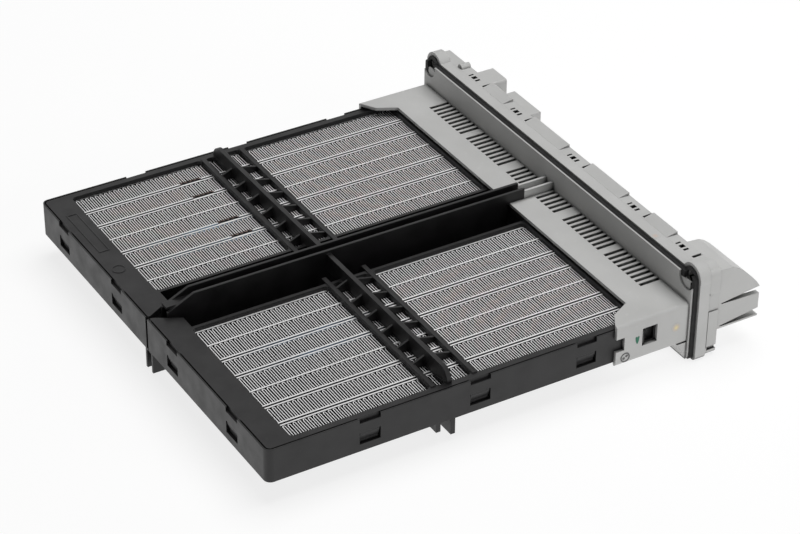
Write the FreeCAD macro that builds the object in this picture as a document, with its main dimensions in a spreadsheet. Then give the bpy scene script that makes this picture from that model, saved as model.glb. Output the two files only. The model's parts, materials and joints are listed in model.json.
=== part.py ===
import FreeCAD, Part
import os
import re
import Sketcher

# Two-zone electric air heater for a vehicle's air duct, in millimetres.
# X runs from the free end to the plugs, Y across the two zones, Z up.
# Sizes are written from the free end of the frame, its middle and its underside.
# Every sub-part is then shifted so that the origin lies midway between the two flange screws.

DIMENSIONS = {
    # Black two-shell frame
    "frame_width": 200.0,
    "frame_length": 178.0,
    "frame_height": 15.0,
    "skin": 2.0,
    "wall": 2.5,
    "corner_radius": 3.0,
    "rim_gauge": 0.6,
    "rim_gap": 0.6,
    "window_round": 2.0,
    "rim_lip": 4.0,
    "end_margin": 12.2,
    "window_end": -10.6,
    "rail": 1.5,
    "end_slit": 1.6,
    "slit_depth": 2.2,
    "trough_start": 13.0,
    "trough_floor": 3.0,
    # Heating stack, the same in both zones
    "fin_height": 9.76,
    "fin_pitch": 1.085,
    "fin_gauge": 0.25,
    "fin_depth": 10.4,
    "fin_inset": 1.0,
    "plate_gauge": 0.75,
    "sheet_gauge": 0.75,
    "stone_gauge": 0.95,
    "stone_length": 24.0,
    "stone_gap": 3.0,
    "carrier_recess": 1.2,
    "carrier_rail": 2.0,
    "spring_room": 0.85,
    "spring_gauge": 0.25,
    "stack_start": 9.0,
    "stack_end": -7.0,
    "stop_thickness": 1.5,
    "cutout_start": 58.2,
    "cutout_end": 68.1,
    "cutout_depth": 1.0,
    "tab_height": 6.0,
    # Cross ribs, drawn as a ladder over both faces
    "cross_place": 81.0,
    "bar_gauge": 2.0,
    "front_bar_offset": 6.6,
    "back_bar_offset": 11.8,
    "bar_rise": 0.5,
    "bar_drop": 4.0,
    "blade_rise": 5.7,
    "blade_drop": 7.2,
    "blade_round": 5.5,
    "gusset_gauge": 1.0,
    "gusset_front_rise": 3.2,
    "gusset_back_rise": 2.9,
    "gusset_first": 19.6,
    "gusset_step": 12.0,
    "bar_foot": 7.5,
    "bar_shoulder": 10.5,
    "bar_end_height": 11.0,
    # Ridge along the middle
    "ridge_gap": 3.8,
    "ridge_wall": 1.2,
    "ridge_rise": 7.2,
    "ridge_drop": 10.0,
    "ridge_start": 8.0,
    "ridge_ramp": 12.0,
    "ridge_ramp_rise": 1.5,
    "ridge_end": -2.7,
    "keel_start": 0.5,
    # Snap clips between the two shells
    "clip_width": 9.2,
    "clip_play": 0.4,
    "clip_first": 44.2,
    "clip_step": 49.0,
    "end_clip_first": -72.1,
    "end_clip_step": 49.8,
    "clip_low": 3.3,
    "clip_high": 8.6,
    "clip_skin": 1.2,
    # Grey housing over the end of the frame
    "hood_top": 2.4,
    "hood_bottom": 1.5,
    "hood_gap": 1.0,
    "hood_gap_depth": 3.0,
    "hood_round": 1.4,
    "hood_side": 1.5,
    "hood_front": -10.0,
    "hood_straight": 88.8,
    "hood_bend_x": -18.7,
    "hood_bend_y": 93.4,
    "hood_tip": -22.7,
    "wall_front": 11.8,
    "lip_gauge": 0.9,
    "seal_seat": 14.5,
    "rim_back": 19.5,
    "flange_half": 104.4,
    "flange_low": -10.4,
    "flange_top": 30.3,
    "flange_radius": 2.0,
    "lip_inset": 2.0,
    "lip_low_inset": 0.4,
    "lip_top_inset": 1.4,
    "lip_scallop": 4.8,
    "seal_inset": 1.3,
    "seal_top_inset": 1.0,
    "seal_ear": 4.6,
    "seal_ear_rise": 0.6,
    "seal_ear_depth": 0.7,
    "rim_width": 4.2,
    "flare_length": 4.5,
    "ear_radius": 6.2,
    "screw_spacing": 196.8,
    "screw_height": 27.2,
    "screw_radius": 3.0,
    "latch_start": -10.2,
    "latch_end": -3.1,
    "latch_low": 4.4,
    "latch_high": 12.6,
    "nose_length": 2.4,
    "nose_tip": 0.6,
    "pocket_depth": 1.9,
    "pocket_margin": 0.6,
    "notch_end": -18.8,
    "notch_low": 5.3,
    "notch_high": 11.3,
    "grey_rib_top": 21.0,
    # Air slots in the housing's top
    "slot_start": 2.0,
    "slot_width": 1.7,
    "slot_step": 3.12,
    "slot_inner": 5.4,
    "slot_middle": 25.5,
    "slot_outer": 56.1,
    # Rear cover and its plug shrouds
    "cover_back": 25.0,
    "cover_wall": 2.0,
    "cover_inset": 0.6,
    "pad_rise": 1.1,
    "pad_ramp": 5.0,
    "snap_middle": -3.2,
    "snap_step": 44.5,
    "snap_end_step": 34.2,
    "snap_before": 8.2,
    "snap_after": 9.4,
    "snap_slit": 1.4,
    "snap_slit_start": 0.7,
    "snap_depth": 2.4,
    "snap_mark": 2.4,
    "snap_spread": 2.7,
    "plug_back": 45.7,
    "plug_side": -103.0,
    "plug_width": 24.0,
    "plug_low": 0.8,
    "plug_hip": 5.0,
    "plug_top": 29.4,
    "plug_axis": 9.0,
    "plug_wall": 2.4,
    "plug_floor": 2.0,
    "plug_mouth_top": 13.2,
    "plug_cut_start": 1.9,
    "low_cut_tip": 1.7,
    "low_cut_top": 4.8,
    "low_cut_floor": 1.5,
    "high_cut_tip": 12.6,
    "high_cut_top": 15.3,
    "high_cut_floor": 11.8,
    "small_plug_back": 31.0,
    "small_plug_low": 2.0,
    "small_plug_top": 29.6,
    "small_plug_start": 36.5,
    "small_plug_width": 21.0,
    "small_plug_wall": 2.0,
    "block_low": 8.0,
    "block_start": 67.0,
    "block_width": 12.4,
    "block_back": 33.0,
    "block_radius": 1.0,
    "pin_boss_place": 86.0,
    "pin_boss_step": 0.8,
    "pin_boss_radius": 1.7,
    "ear_boss": 4.8,
    "side_recess": 0.5,
    "side_recess_low": 11.2,
    "side_recess_high": 19.4,
    "side_groove": 0.7,
    "side_notch": 1.1,
    "side_notch_low": -7.4,
    "side_notch_high": -5.7,
    # Electronics
    "board_front": 18.2,
    "chamber_floor": 1.0,
    "board_gauge": 1.6,
    "board_half": 93.8,
    "board_low": -3.0,
    "board_high": 25.0,
    "post_radius": 2.6,
    "post_place": 92.0,
    "post_height": 11.0,
    "rib_gauge": 1.6,
    "transistor_width": 9.0,
    "transistor_height": 9.4,
    "transistor_gauge": 2.3,
    "blade_width": 6.5,
    "terminal_gauge": 0.8,
    "terminal_spacing": 9.0,
    "terminal_end": 39.0,
    "pin_gauge": 0.64,
    "pin_spacing": 4.0,
    "pin_end": 29.5,
    "slot_play": 0.25,
    "seat_play": 0.05,
}

# Places along X that are counted from the frame's end at the plugs
FROM_FRAME_END = {
    "window_end", "stack_end", "ridge_end", "hood_front", "hood_bend_x", "hood_tip",
    "wall_front", "seal_seat", "rim_back", "latch_start", "latch_end", "notch_end",
    "slot_start", "cover_back", "plug_back", "small_plug_back", "block_back",
    "board_front", "terminal_end", "pin_end",
}

ROWS = 7
DIVIDERS = {1: "plate", 2: "rod", 3: "rod", 4: "plate", 5: "rod", 6: "rod"}
SIDES = {"left": 1, "right": -1}
SLOT_GROUPS = (("slot_inner", 5), ("slot_middle", 9), ("slot_outer", 9))
STONES = 6
GUSSETS = 6
PINS = 4

HALF = "frame_width / 2"
COVER_UNDER = "frame_height - skin"
ROD = "(2 * sheet_gauge + stone_gauge)"
RIDGE_OUT = "(ridge_gap / 2 + ridge_wall)"
HOOD_TOP = "frame_height + hood_top"

# The plug shroud's back: share of its depth, and share of its height above the hip
PLUG_CURVE = ((0, 1), (0.36, 0.97), (0.49, 0.91), (0.64, 0.8), (0.8, 0.65), (0.92, 0.53), (1, 0.42))

doc = FreeCAD.newDocument("AirHeater")
sheet = doc.addObject("Spreadsheet::Sheet", "Sizes")
parts = []


def fill_sheet():
    """Writes each driving dimension into a cell of its own, with its name as the alias."""
    for row, (alias, value) in enumerate(DIMENSIONS.items(), start=1):
        sheet.set(f"A{row}", alias)
        sheet.set(f"B{row}", str(value))
        sheet.setAlias(f"B{row}", alias)
    doc.recompute()


def size(alias):
    """What a name stands for: its cell in the sheet, or a place along the frame."""
    number = float(sheet.get(alias))
    if alias in FROM_FRAME_END:
        return float(sheet.get("frame_length")) + number
    return number


def cell(word):
    """The expression that a name stands for."""
    alias = word.group()
    if alias in FROM_FRAME_END:
        return f"(Sizes.frame_length + Sizes.{alias})"
    return f"Sizes.{alias}"


def bound(text):
    """An expression whose plain words are turned into cells of the sheet."""
    return re.sub(r"[a-z][a-z_]*[a-z]", cell, text)


def bind(thing, **properties):
    """Ties properties of an object to expressions on the sheet."""
    for name, text in properties.items():
        thing.setExpression(name.replace("__", "."), bound(text))


def named(thing, label):
    """Keeps a finished sub-part under its node name and moves it into the object's own frame."""
    thing.Label = label
    thing.setExpression("Placement.Base.x", bound("-seal_seat"))
    thing.setExpression("Placement.Base.z", bound("-screw_height"))
    parts.append(thing)
    return thing


def spread(side, near, far):
    """The span across Y between two distances from the middle, on the left or the right."""
    if side > 0:
        return near, far
    return f"-({far})", f"-({near})"


def block(x, y, z):
    """A box between two expressions along each axis."""
    box = doc.addObject("Part::Box", "Block")
    for axis, length, (low, high) in zip("xyz", ("Length", "Width", "Height"), (x, y, z)):
        box.setExpression(f"Placement.Base.{axis}", bound(low))
        box.setExpression(length, bound(f"({high}) - ({low})"))
    return box


TURNS = {
    "x": FreeCAD.Rotation(FreeCAD.Vector(0, 1, 0), 90),
    "y": FreeCAD.Rotation(FreeCAD.Vector(1, 0, 0), -90),
    "z": FreeCAD.Rotation(),
}


def round_bar(axis, centre, span, radius):
    """A cylinder along one axis, with its centre on the other two."""
    bar = doc.addObject("Part::Cylinder", "Bar")
    bar.Placement = FreeCAD.Placement(FreeCAD.Vector(), TURNS[axis])
    places = dict(zip("xyz".replace(axis, ""), centre))
    places[axis] = span[0]
    for name, text in places.items():
        bar.setExpression(f"Placement.Base.{name}", bound(text))
    bind(bar, Radius=radius, Height=f"({span[1]}) - ({span[0]})")
    return bar


NORMALS = {
    "xy": FreeCAD.Vector(0, 0, 1),
    "xz": FreeCAD.Vector(0, 1, 0),
    "yz": FreeCAD.Vector(1, 0, 0),
}


def outline(plane, points, low):
    """A closed sketch of straight lines, each corner tied to expressions on the sheet."""
    turn = {
        "xy": FreeCAD.Rotation(),
        "xz": FreeCAD.Rotation(FreeCAD.Vector(1, 0, 0), 90),
        "yz": FreeCAD.Rotation(FreeCAD.Vector(1, 1, 1), 120),
    }[plane]
    sketch = doc.addObject("Sketcher::SketchObject", "Outline")
    sketch.Placement = FreeCAD.Placement(FreeCAD.Vector(), turn)
    sketch.setExpression(
        {"xy": "Placement.Base.z", "xz": "Placement.Base.y", "yz": "Placement.Base.x"}[plane],
        bound(low),
    )
    draw_polygon(sketch, points)
    return sketch


def draw_polygon(sketch, points):
    """Adds the polygon's edges to a sketch and binds each corner's two coordinates."""
    corners = [FreeCAD.Vector(value(first), value(second), 0) for first, second in points]
    for start, end in zip(corners, corners[1:] + corners[:1]):
        sketch.addGeometry(Part.LineSegment(start, end), False)
    count = len(corners)
    for edge in range(count):
        sketch.addConstraint(Sketcher.Constraint("Coincident", edge, 2, (edge + 1) % count, 1))
    for edge, (first, second) in enumerate(points):
        for kind, text, place in (
            ("DistanceX", first, corners[edge].x),
            ("DistanceY", second, corners[edge].y),
        ):
            index = sketch.addConstraint(Sketcher.Constraint(kind, -1, 1, edge, 1, place))
            sketch.setExpression(f"Constraints[{index}]", bound(text))


def value(text):
    """What an expression comes to with the sheet's present numbers."""
    words = {alias: size(alias) for alias in set(re.findall(r"[a-z][a-z_]*[a-z]", text))}
    for alias in sorted(words, key=len, reverse=True):
        text = re.sub(rf"\b{alias}\b", f"({words[alias]})", text)
    return sheet.evalExpression(text)


def prism(plane, points, low, high):
    """A solid between two planes with a polygon as its section."""
    solid = doc.addObject("Part::Extrusion", "Prism")
    solid.Base = outline(plane, points, low)
    solid.DirMode = "Custom"
    solid.Dir = NORMALS[plane]
    solid.Solid = True
    bind(solid, LengthFwd=f"({high}) - ({low})")
    return solid


def joined(shapes):
    """One solid from touching or overlapping ones."""
    if len(shapes) == 1:
        return shapes[0]
    fuse = doc.addObject("Part::MultiFuse", "Joined")
    fuse.Shapes = shapes
    fuse.Refine = True
    return fuse


def carved(base, tools):
    """A solid with every tool taken away from it."""
    cut = doc.addObject("Part::Cut", "Carved")
    cut.Base = base
    cut.Tool = joined(tools)
    cut.Refine = True
    return cut


def rounded_block(axis, spans, radius):
    """A box whose four edges along one axis are round."""
    others = "xyz".replace(axis, "")
    solids = []
    for shrunk in others:
        spans_now = dict(spans)
        low, high = spans[shrunk]
        spans_now[shrunk] = (f"{low} + {radius}", f"{high} - {radius}")
        solids.append(block(spans_now["x"], spans_now["y"], spans_now["z"]))
    for first in (f"{spans[others[0]][0]} + {radius}", f"{spans[others[0]][1]} - {radius}"):
        for second in (f"{spans[others[1]][0]} + {radius}", f"{spans[others[1]][1]} - {radius}"):
            solids.append(round_bar(axis, (first, second), spans[axis], radius))
    return joined(solids)


def stack_face(rows, rods, plates):
    """Distance from the middle to a face of the stack, counted inwards from the outer wall."""
    return (
        f"{HALF} - wall - spring_room - {plates} * plate_gauge"
        f" - {rods} * {ROD} - {rows} * fin_height"
    )


def row_faces(row):
    """Inner and outer face of a fin row, counted from the middle of the frame outwards."""
    outside = [DIVIDERS[place] for place in range(row, ROWS)]
    rods = outside.count("rod")
    plates = outside.count("plate") + 1
    return stack_face(ROWS - row + 1, rods, plates), stack_face(ROWS - row, rods, plates)


INNER_PLATE = f"({row_faces(1)[0]} - plate_gauge)"
WINDOWS = (
    ("end_margin", "cross_place - front_bar_offset - bar_gauge / 2"),
    ("cross_place - front_bar_offset + bar_gauge / 2", "cross_place - bar_gauge / 2"),
    ("cross_place + bar_gauge / 2", "cross_place + back_bar_offset - bar_gauge / 2"),
    ("cross_place + back_bar_offset + bar_gauge / 2", "window_end"),
)


def side_clips():
    """Middle of each snap clip along the frame's long sides."""
    return [f"clip_first + {number} * clip_step" for number in range(3)]


def end_clips():
    """Middle of each snap clip across the frame's free end."""
    return [f"end_clip_first + {number} * end_clip_step" for number in range(4)]


def clip_span(middle, shrink="0"):
    return f"{middle} - clip_width / 2 + {shrink}", f"{middle} + clip_width / 2 - {shrink}"


def frame_plan(low, high, inset="0", end="frame_length"):
    """The frame's outline with its rounded free corners, as one slab, set in by a margin."""
    y = (f"-({HALF} - ({inset}))", f"{HALF} - ({inset})")
    radius = f"(corner_radius - ({inset}))"
    slab = rounded_block("z", {"x": (inset, end), "y": y, "z": (low, high)}, radius)
    square_end = block((f"{end} - 2 * corner_radius", end), y, (low, high))
    return joined([slab, square_end])


def end_slit(low, high):
    """The narrow gap between the two zones at the frame's free end."""
    return block(("-1", "slit_depth"), ("-end_slit / 2", "end_slit / 2"), (low, high))


def window_tools(low, high):
    """The openings over the fins of both zones."""
    tools = []
    for side in SIDES.values():
        for x in WINDOWS:
            y = spread(side, INNER_PLATE, f"{HALF} - rim_lip")
            tools.append(rounded_block("z", {"x": x, "y": y, "z": (low, high)}, "window_round"))
    return tools


def frame_lower():
    """Tray with the outer walls, the floor round the fin windows, the keel and the cross blades."""
    solids = [frame_plan("0", "frame_height")]
    solids.append(
        block(("keel_start", "hood_tip - 2"), (f"-{RIDGE_OUT}", RIDGE_OUT), ("-ridge_drop", "skin")),
    )
    for offset, gauge, drop in (
        ("0", "bar_gauge", "blade_drop"),
        ("-front_bar_offset", "bar_gauge", "bar_drop"),
    ):
        x = (f"cross_place + {offset} - {gauge} / 2", f"cross_place + {offset} + {gauge} / 2")
        solids.append(block(x, (f"-{HALF}", HALF), (f"-{drop}", "skin")))
    for side in SIDES.values():
        solids.append(latch_nose(side))
    body = joined(solids)
    tools = window_tools("-1", "skin")
    tools.append(
        block(
            ("wall", "frame_length - wall"),
            (f"-{HALF} + wall", f"{HALF} - wall"),
            ("skin", "frame_height"),
        ),
    )
    tools.append(
        block(
            ("keel_start - 1", "hood_tip"),
            ("-ridge_gap / 2", "ridge_gap / 2"),
            ("-ridge_drop - 1", "-ridge_wall"),
        ),
    )
    tools.append(frame_plan(COVER_UNDER, "frame_height + 1", "rim_gauge", "frame_length + 1"))
    tools.append(end_slit("-1", "frame_height + 1"))
    tools += rim_tools()
    tools += clip_tools("0", "clip_low", "clip_high")
    tools += clip_tools("clip_skin", "clip_low", "frame_height")
    for side in SIDES.values():
        tools.append(terminal_gate(side))
        tools.append(latch_pocket(side))
    return named(carved(body, tools), "frame_lower")


def terminal_gate(side):
    """Opening in the frame's end wall that the contact tabs of one zone run through."""
    faces = spread(side, INNER_PLATE, f"{HALF} - wall")
    return block(("frame_length - wall - 1", "frame_length + 1"), faces, ("skin", "frame_height"))


def latch_nose(side):
    """Ramped nose on the frame's long side that snaps into the housing's window."""
    reach = "hood_side - slot_play"
    points = [
        ("latch_start + slot_play", HALF),
        ("latch_start + slot_play", f"{HALF} + {reach}"),
        ("latch_start + slot_play + nose_tip", f"{HALF} + {reach}"),
        ("latch_start + nose_length", HALF),
    ]
    if side < 0:
        points = [(x, f"-({y})") for x, y in points]
    return prism("xy", points, "latch_low + 1", "latch_high - 1")


def latch_pocket(side):
    """Pocket in the frame's wall behind the nose, deep enough for a release tool."""
    return block(
        ("latch_start + nose_length", "latch_end - pocket_margin"),
        spread(side, f"{HALF} - pocket_depth", f"{HALF} + 1"),
        ("latch_low + pocket_margin", "latch_high - pocket_margin"),
    )


def clip_tools(skin, low, high):
    """Cuts in the outer walls at every clip, from a depth below the outer face inwards."""
    tools = []
    for side in SIDES.values():
        for middle in side_clips():
            tools.append(
                block(
                    clip_span(middle),
                    spread(side, f"{HALF} - wall - 0.01", f"{HALF} - {skin}"),
                    (low, high),
                ),
            )
    for middle in end_clips():
        tools.append(block((skin, "wall + 0.01"), clip_span(middle), (low, high)))
    return tools


def clip_hooks():
    """Hooks of the upper shell that reach down inside the wall and catch its windows."""
    solids = []
    low = "clip_low + slot_play"
    for side in SIDES.values():
        for middle in side_clips():
            x = clip_span(middle, "clip_play")
            tongue = spread(side, f"{HALF} - wall + seat_play", f"{HALF} - clip_skin - seat_play")
            solids.append(block(x, tongue, (low, COVER_UNDER)))
            nose = [
                (f"{HALF} - clip_skin - 0.4", low),
                (f"{HALF} - 0.3", "clip_high - 1.2"),
                (f"{HALF} - 0.3", "clip_high - slot_play"),
                (f"{HALF} - clip_skin - 0.4", "clip_high - slot_play"),
            ]
            if side < 0:
                nose = [(f"-({y})", z) for y, z in nose]
            solids.append(prism("yz", nose, x[0], x[1]))
    for middle in end_clips():
        y = clip_span(middle, "clip_play")
        solids.append(block(("clip_skin + seat_play", "wall - seat_play"), y, (low, COVER_UNDER)))
        nose = [
            ("clip_skin + 0.4", low),
            ("0.3", "clip_high - 1.2"),
            ("0.3", "clip_high - slot_play"),
            ("clip_skin + 0.4", "clip_high - slot_play"),
        ]
        solids.append(prism("xz", nose, y[0], y[1]))
    return solids


def rim_tools():
    """Gaps in the thin rim of the lower shell's wall above every clip."""
    tools = []
    z = (COVER_UNDER, "frame_height + 1")
    for side in SIDES.values():
        for middle in side_clips():
            y = spread(side, f"{HALF} - rim_gauge - rim_gap", f"{HALF} + 1")
            tools.append(block(clip_span(middle), y, z))
    for middle in end_clips():
        tools.append(block(("-1", "rim_gauge + rim_gap"), clip_span(middle), z))
    return tools


def trough_plan():
    """The middle trough's outline, which narrows to the slit at the frame's free end."""
    inside = f"({INNER_PLATE} - rail)"
    return [
        ("slit_depth", "-end_slit / 2"),
        ("trough_start", "-ridge_gap - 3"),
        ("trough_start", f"-{inside}"),
        ("frame_length - wall", f"-{inside}"),
        ("frame_length - wall", inside),
        ("trough_start", inside),
        ("trough_start", "ridge_gap + 3"),
        ("slit_depth", "end_slit / 2"),
    ]


def ridge_walls():
    """The two walls of the ridge, ramped at the free end and carried over the housing's edge."""
    solids = []
    floor = "skin + trough_floor - 0.1"
    top = "frame_height + ridge_rise"
    points = [
        ("ridge_start", floor),
        ("hood_front - 1", floor),
        ("hood_front - 1", f"{HOOD_TOP} + seat_play"),
        ("ridge_end", f"{HOOD_TOP} + seat_play"),
        ("ridge_end", top),
        ("ridge_start + ridge_ramp", top),
        ("ridge_start", "frame_height + ridge_ramp_rise"),
    ]
    for side in SIDES.values():
        low, high = spread(side, "ridge_gap / 2", RIDGE_OUT)
        solids.append(prism("xz", points, low, high))
    bridge = ("ridge_gap / 2 + 0.1", "-ridge_gap / 2 - 0.1")
    solids.append(
        block(
            ("ridge_start", "ridge_end"),
            (bridge[1], bridge[0]),
            (f"{HOOD_TOP} + seat_play", f"{HOOD_TOP} + ridge_wall"),
        ),
    )
    return solids


def blade(side):
    """Half of the tall cross blade, rounded down to the rim at its outer end."""
    near, far = spread(side, "ridge_gap / 2 + 0.2", f"{HALF} - rim_lip - blade_round + 1")
    x = ("cross_place - bar_gauge / 2", "cross_place + bar_gauge / 2")
    top = "frame_height + blade_rise"
    solids = [block(x, (near, far), (COVER_UNDER, top))]
    sector = doc.addObject("Part::Cylinder", "Sector")
    turn = FreeCAD.Rotation(FreeCAD.Vector(1, 1, 1), 120)
    if side < 0:
        turn = turn.multiply(FreeCAD.Rotation(FreeCAD.Vector(0, 0, 1), 90))
    sector.Placement = FreeCAD.Placement(FreeCAD.Vector(), turn)
    sector.Angle = 90
    sector.setExpression("Placement.Base.x", bound(x[0]))
    sector.setExpression("Placement.Base.y", bound(far if side > 0 else near))
    sector.setExpression("Placement.Base.z", bound(f"{top} - blade_round"))
    bind(sector, Radius="blade_round", Height="bar_gauge")
    solids.append(sector)
    return solids


def gussets(side):
    """Thin ribs that brace the tall blade against the two lower bars, evenly spaced."""
    solids = []
    top = "frame_height"
    front = "cross_place - front_bar_offset"
    back = "cross_place + back_bar_offset"
    front_points = [
        (front, COVER_UNDER),
        ("cross_place", COVER_UNDER),
        ("cross_place", f"{top} + gusset_front_rise"),
        (front, f"{top} + bar_rise - 0.1"),
    ]
    back_points = [
        ("cross_place", COVER_UNDER),
        (back, COVER_UNDER),
        (back, top),
        ("cross_place", f"{top} + gusset_back_rise"),
    ]
    for number in range(GUSSETS):
        place = f"gusset_first + {number} * gusset_step"
        low, high = spread(side, f"{place} - gusset_gauge / 2", f"{place} + gusset_gauge / 2")
        solids.append(prism("xz", front_points, low, high))
        solids.append(prism("xz", back_points, low, high))
    return solids


def frame_upper():
    """Cover shell with the fin windows, the trough, the ridge, the ladder of ribs and the hooks."""
    plate = carved(
        frame_plan(COVER_UNDER, "frame_height", "rim_gauge + rim_gap"),
        window_tools("0", "frame_height + 1")
        + [end_slit("0", "frame_height + 1"), prism("xy", trough_plan(), "0", "frame_height + 1")],
    )
    solids = [plate]
    rails_end = "frame_length - wall - seat_play"
    for side in SIDES.values():
        solids.append(
            block(
                ("trough_start", rails_end),
                spread(side, f"{INNER_PLATE} - rail", INNER_PLATE),
                ("skin", "frame_height"),
            ),
        )
        for x in (
            ("stack_start - stop_thickness", "stack_start"),
            ("stack_end", "stack_end + stop_thickness"),
        ):
            solids.append(stack_stop(side, x))
        for offset in ("-front_bar_offset", "back_bar_offset"):
            middle = f"cross_place + {offset}"
            x = (f"{middle} - bar_gauge / 2", f"{middle} + bar_gauge / 2")
            solids.append(
                block(
                    x,
                    spread(side, INNER_PLATE + " - 0.1", f"{HALF} - rim_lip + 0.1"),
                    (COVER_UNDER, "frame_height + bar_rise"),
                ),
            )
            solids.append(bar_end(side, x))
        solids += blade(side)
        solids += gussets(side)
    floor = ("skin", "skin + trough_floor")
    solids.append(block(("ridge_start", rails_end), (f"-({INNER_PLATE})", INNER_PLATE), floor))
    solids += ridge_walls()
    solids += clip_hooks()
    return named(joined(solids), "frame_upper")


def bar_end(side, x):
    """Inner end of a lower bar, which runs down into the trough."""
    floor = "skin + trough_floor - 0.1"
    points = [
        ("bar_foot", floor),
        (f"{INNER_PLATE} - 0.1", floor),
        (f"{INNER_PLATE} - 0.1", "frame_height + bar_rise"),
        ("bar_shoulder", "frame_height + bar_rise"),
        ("bar_foot", "bar_end_height"),
    ]
    if side < 0:
        points = [(f"-({y})", z) for y, z in points]
    return prism("yz", points, x[0], x[1])


def stack_stop(side, x):
    """Cross wall under the cover that holds the stack's end, slotted where contact tabs pass."""
    stop = block(
        x,
        spread(side, INNER_PLATE + " - 0.1", f"{HALF} - wall - spring_room"),
        ("skin", COVER_UNDER + " + 0.1"),
    )
    if x[0] == "stack_end":
        return carved(stop, tab_tools(side, ("stack_end - 1", "stack_end + stop_thickness + 1")))
    return stop


def rod_rows():
    """The rows that have a heating rod on their outer side."""
    return [row for row in DIVIDERS if DIVIDERS[row] == "rod"]


def tab_faces(row):
    """Inner and outer face of the contact tab of one heating rod, which is its outer sheet."""
    outer = row_faces(row + 1)[0]
    return f"{outer} - sheet_gauge", outer


def tab_tools(side, x):
    """Slots that the four contact tabs of one zone pass through."""
    tools = []
    for row in rod_rows():
        inner, outer = tab_faces(row)
        y = spread(side, f"{inner} - slot_play", f"{outer} + slot_play")
        z = (
            "frame_height / 2 - tab_height / 2 - slot_play",
            "frame_height / 2 + tab_height / 2 + slot_play",
        )
        tools.append(block(x, y, z))
    return tools


def fin_profile():
    """Corrugated strip seen from above, with flat crests against the plates on both sides."""
    gauge = size("fin_gauge")
    height = size("fin_height")
    pitch = size("fin_pitch")
    room = size("stack_end") - size("stack_start") - 2 * size("fin_inset")
    bends = int(room / pitch)
    start = (room - (bends - 1) * pitch) / 2
    outer = pitch * 0.28
    inner = outer - gauge
    upper = []
    lower = []
    for bend in range(bends):
        middle = start + bend * pitch
        if bend % 2:
            upper += [(middle - outer, height), (middle + outer, height)]
            lower += [(middle - inner, height - gauge), (middle + inner, height - gauge)]
        else:
            upper += [(middle - inner, gauge), (middle + inner, gauge)]
            lower += [(middle - outer, 0), (middle + outer, 0)]
    points = [FreeCAD.Vector(x, y, 0) for x, y in upper + lower[::-1]]
    face = Part.Face(Part.makePolygon(points + points[:1]))
    return face.extrude(FreeCAD.Vector(0, 0, size("fin_depth")))


def fin_rows():
    """Seven corrugated rows in each zone, counted from the middle outwards."""
    strip = fin_profile()
    for name, side in SIDES.items():
        for row in range(1, ROWS + 1):
            fins = doc.addObject("Part::Feature", "Fins")
            fins.Shape = strip
            fins.Label = f"fin_row_{name}_{row}"
            inner, outer = row_faces(row)
            y = value(inner) if side > 0 else -value(outer)
            x = size("stack_start") + size("fin_inset") - size("seal_seat")
            z = (size("frame_height") - size("fin_depth")) / 2 - size("screw_height")
            fins.Placement = FreeCAD.Placement(FreeCAD.Vector(x, y, z), FreeCAD.Rotation())
            parts.append(fins)


def padded(label, plane, points, low, high):
    """A body made from one sketch and one pad, as a stamped or moulded flat piece is."""
    body = doc.addObject("PartDesign::Body", "Body")
    role = {"xy": "XY_Plane", "xz": "XZ_Plane", "yz": "YZ_Plane"}[plane]
    base = next(feature for feature in body.Origin.OriginFeatures if feature.Role == role)
    sketch = body.newObject("Sketcher::SketchObject", "Profile")
    sketch.AttachmentSupport = (base, [""])
    sketch.MapMode = "FlatFace"
    offset = low if plane != "xz" else f"-({high})"
    sketch.setExpression("AttachmentOffset.Base.z", bound(offset))
    draw_polygon(sketch, points)
    pad = body.newObject("PartDesign::Pad", "Pad")
    pad.Profile = sketch
    bind(pad, Length=f"({high}) - ({low})")
    if label:
        named(body, label)
    return body


def rectangle(first, second):
    """Corners of a rectangle from its two spans."""
    return [(first[0], second[0]), (first[1], second[0]), (first[1], second[1]), (first[0], second[1])]


def top_edge(name, x, z):
    """A plate's upper edge from back to front, with the left zone's shallow cut-out."""
    if name == "right":
        return [(x[1], z[1]), (x[0], z[1])]
    floor = f"{z[1]} - cutout_depth"
    return [
        (x[1], z[1]),
        ("cutout_end", z[1]),
        ("cutout_end", floor),
        ("cutout_start", floor),
        ("cutout_start", z[1]),
        (x[0], z[1]),
    ]


def stack_plates():
    """Single metal plates: between rows, against the middle rail and against the outer spring."""
    x = ("stack_start", "stack_end")
    z = ("skin", COVER_UNDER)
    for name, side in SIDES.items():
        number = 0
        for row, kind in DIVIDERS.items():
            if kind == "plate":
                number += 1
                low, high = spread(side, row_faces(row)[1], row_faces(row + 1)[0])
                padded(f"separator_plate_{name}_{number}", "xz", rectangle(x, z), low, high)
        low, high = spread(side, INNER_PLATE, row_faces(1)[0])
        edge = [(x[0], z[0]), (x[1], z[0])] + top_edge(name, x, z)
        padded(f"inner_end_plate_{name}", "xz", edge, low, high)
        low, high = spread(side, row_faces(ROWS)[1], f"{row_faces(ROWS)[1]} + plate_gauge")
        padded(f"outer_end_plate_{name}", "xz", rectangle(x, z), low, high)


def contact_sheets():
    """Two sheets per heating rod, the outer one with a tab that runs back to the circuit board."""
    x = ("stack_start", "stack_end")
    z = ("skin", COVER_UNDER)
    tab = ("frame_height / 2 - tab_height / 2", "frame_height / 2 + tab_height / 2")
    tabbed = [
        (x[0], z[0]), (x[1], z[0]), (x[1], tab[0]), ("board_front", tab[0]),
        ("board_front", tab[1]), (x[1], tab[1]),
    ]
    for name, side in SIDES.items():
        for number, row in enumerate(rod_rows(), start=1):
            inner = row_faces(row)[1]
            low, high = spread(side, inner, f"{inner} + sheet_gauge")
            padded(f"contact_sheet_{name}_{number}_inner", "xz", rectangle(x, z), low, high)
            low, high = spread(side, *tab_faces(row))
            padded(f"contact_sheet_{name}_{number}_outer", "xz", tabbed + top_edge(name, x, z), low, high)


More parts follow.
